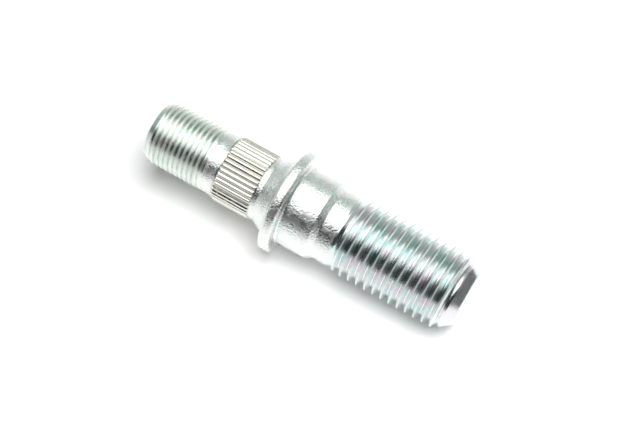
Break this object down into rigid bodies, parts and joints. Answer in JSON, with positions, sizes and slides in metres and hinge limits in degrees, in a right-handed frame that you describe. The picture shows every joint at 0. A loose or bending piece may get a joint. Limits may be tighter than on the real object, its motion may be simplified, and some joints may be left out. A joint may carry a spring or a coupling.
{
  "type": "wheel stud",
  "caption": "Double-ended wheel stud with a flange, a knurled press-fit shank, a coarse thread for the wheel nut and a fine thread for the hub nut.",
  "frame": {"origin": "centre of the flange's ring face that seats on the hub", "axes": "+Z along the stud's axis, towards the hub-nut thread, which is the way it is pressed into the hub"},
  "size_m": [0.0296, 0.0296, 0.0965],
  "materials": {
    "bright_zinc": "forged and rolled steel, bright zinc plated, with a faint blue, green and pink tint"
  },
  "bodies": {
    "root": {"wheel_stud": "bright_zinc"}
  },
  "joints": []
}
